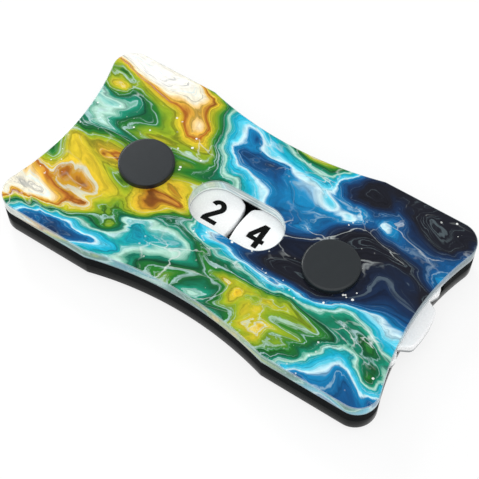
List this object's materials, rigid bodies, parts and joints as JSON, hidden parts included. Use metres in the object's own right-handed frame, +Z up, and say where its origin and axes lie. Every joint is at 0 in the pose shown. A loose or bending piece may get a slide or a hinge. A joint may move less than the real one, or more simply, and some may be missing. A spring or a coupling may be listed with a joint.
{
  "type": "life counter",
  "caption": "Pocket life counter: layered acrylic plate with two numbered wheels that turn by their edges and show their digits through a window.",
  "frame": {"origin": "on the table under the middle of the counter, where the screw heads rest", "axes": "+X along the length, from the tens wheel to the units wheel; +Y towards the tops of the numerals; +Z up, out of the printed face"},
  "size_m": [0.0882, 0.0468, 0.012],
  "materials": {
    "printed_acrylic": "clear acrylic with a colour print, gloss",
    "black_acrylic": "black acrylic with laser-polished edges, gloss",
    "white_acrylic": "opaque white acrylic with black filled numerals",
    "black_cap": "moulded charcoal plastic, satin"
  },
  "bodies": {
    "case": {"top_plate": "printed_acrylic", "front_spacer": "black_acrylic", "rear_spacer": "black_acrylic", "bottom_plate": "black_acrylic", "left_post": "black_cap", "right_post": "black_cap", "left_screw": "black_cap", "right_screw": "black_cap"},
    "left_wheel": {"left_wheel": "white_acrylic"},
    "right_wheel": {"right_wheel": "white_acrylic"}
  },
  "joints": [
    {"name": "left_wheel_turn", "type": "hinge", "parent": "case", "child": "left_wheel", "pos_m": [-0.0222, 0, 0.006], "axis": [0, 0, 1], "continuous": true},
    {"name": "right_wheel_turn", "type": "hinge", "parent": "case", "child": "right_wheel", "pos_m": [0.0222, 0, 0.006], "axis": [0, 0, 1], "continuous": true}
  ]
}
